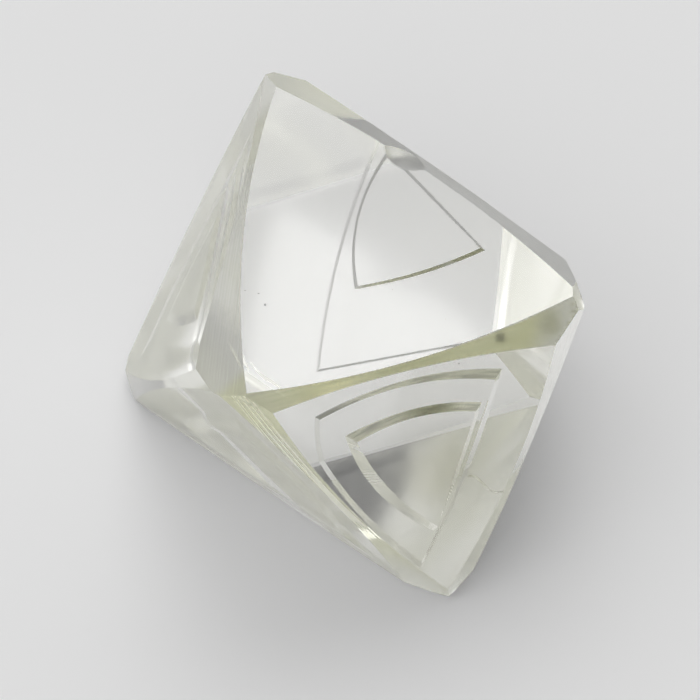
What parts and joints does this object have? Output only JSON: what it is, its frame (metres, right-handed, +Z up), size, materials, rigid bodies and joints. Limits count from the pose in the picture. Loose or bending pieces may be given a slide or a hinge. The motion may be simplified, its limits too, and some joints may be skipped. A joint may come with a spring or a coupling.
{
  "type": "rough diamond octahedron",
  "caption": "Clear, faintly yellowish uncut diamond octahedron with growth terraces, lying on a face.",
  "frame": {"origin": "bottom centre of the stone's bounding box, on the plane that it rests on", "axes": "+Z up, out of the resting face; +X along the stone's longest extent, towards its right corner ridge; +Y away from the front face"},
  "size_m": [0.0076, 0.007, 0.005],
  "materials": {
    "diamond": "clear, high gloss, faint yellow body colour"
  },
  "bodies": {
    "root": {"diamond_crystal": "diamond"}
  },
  "joints": []
}
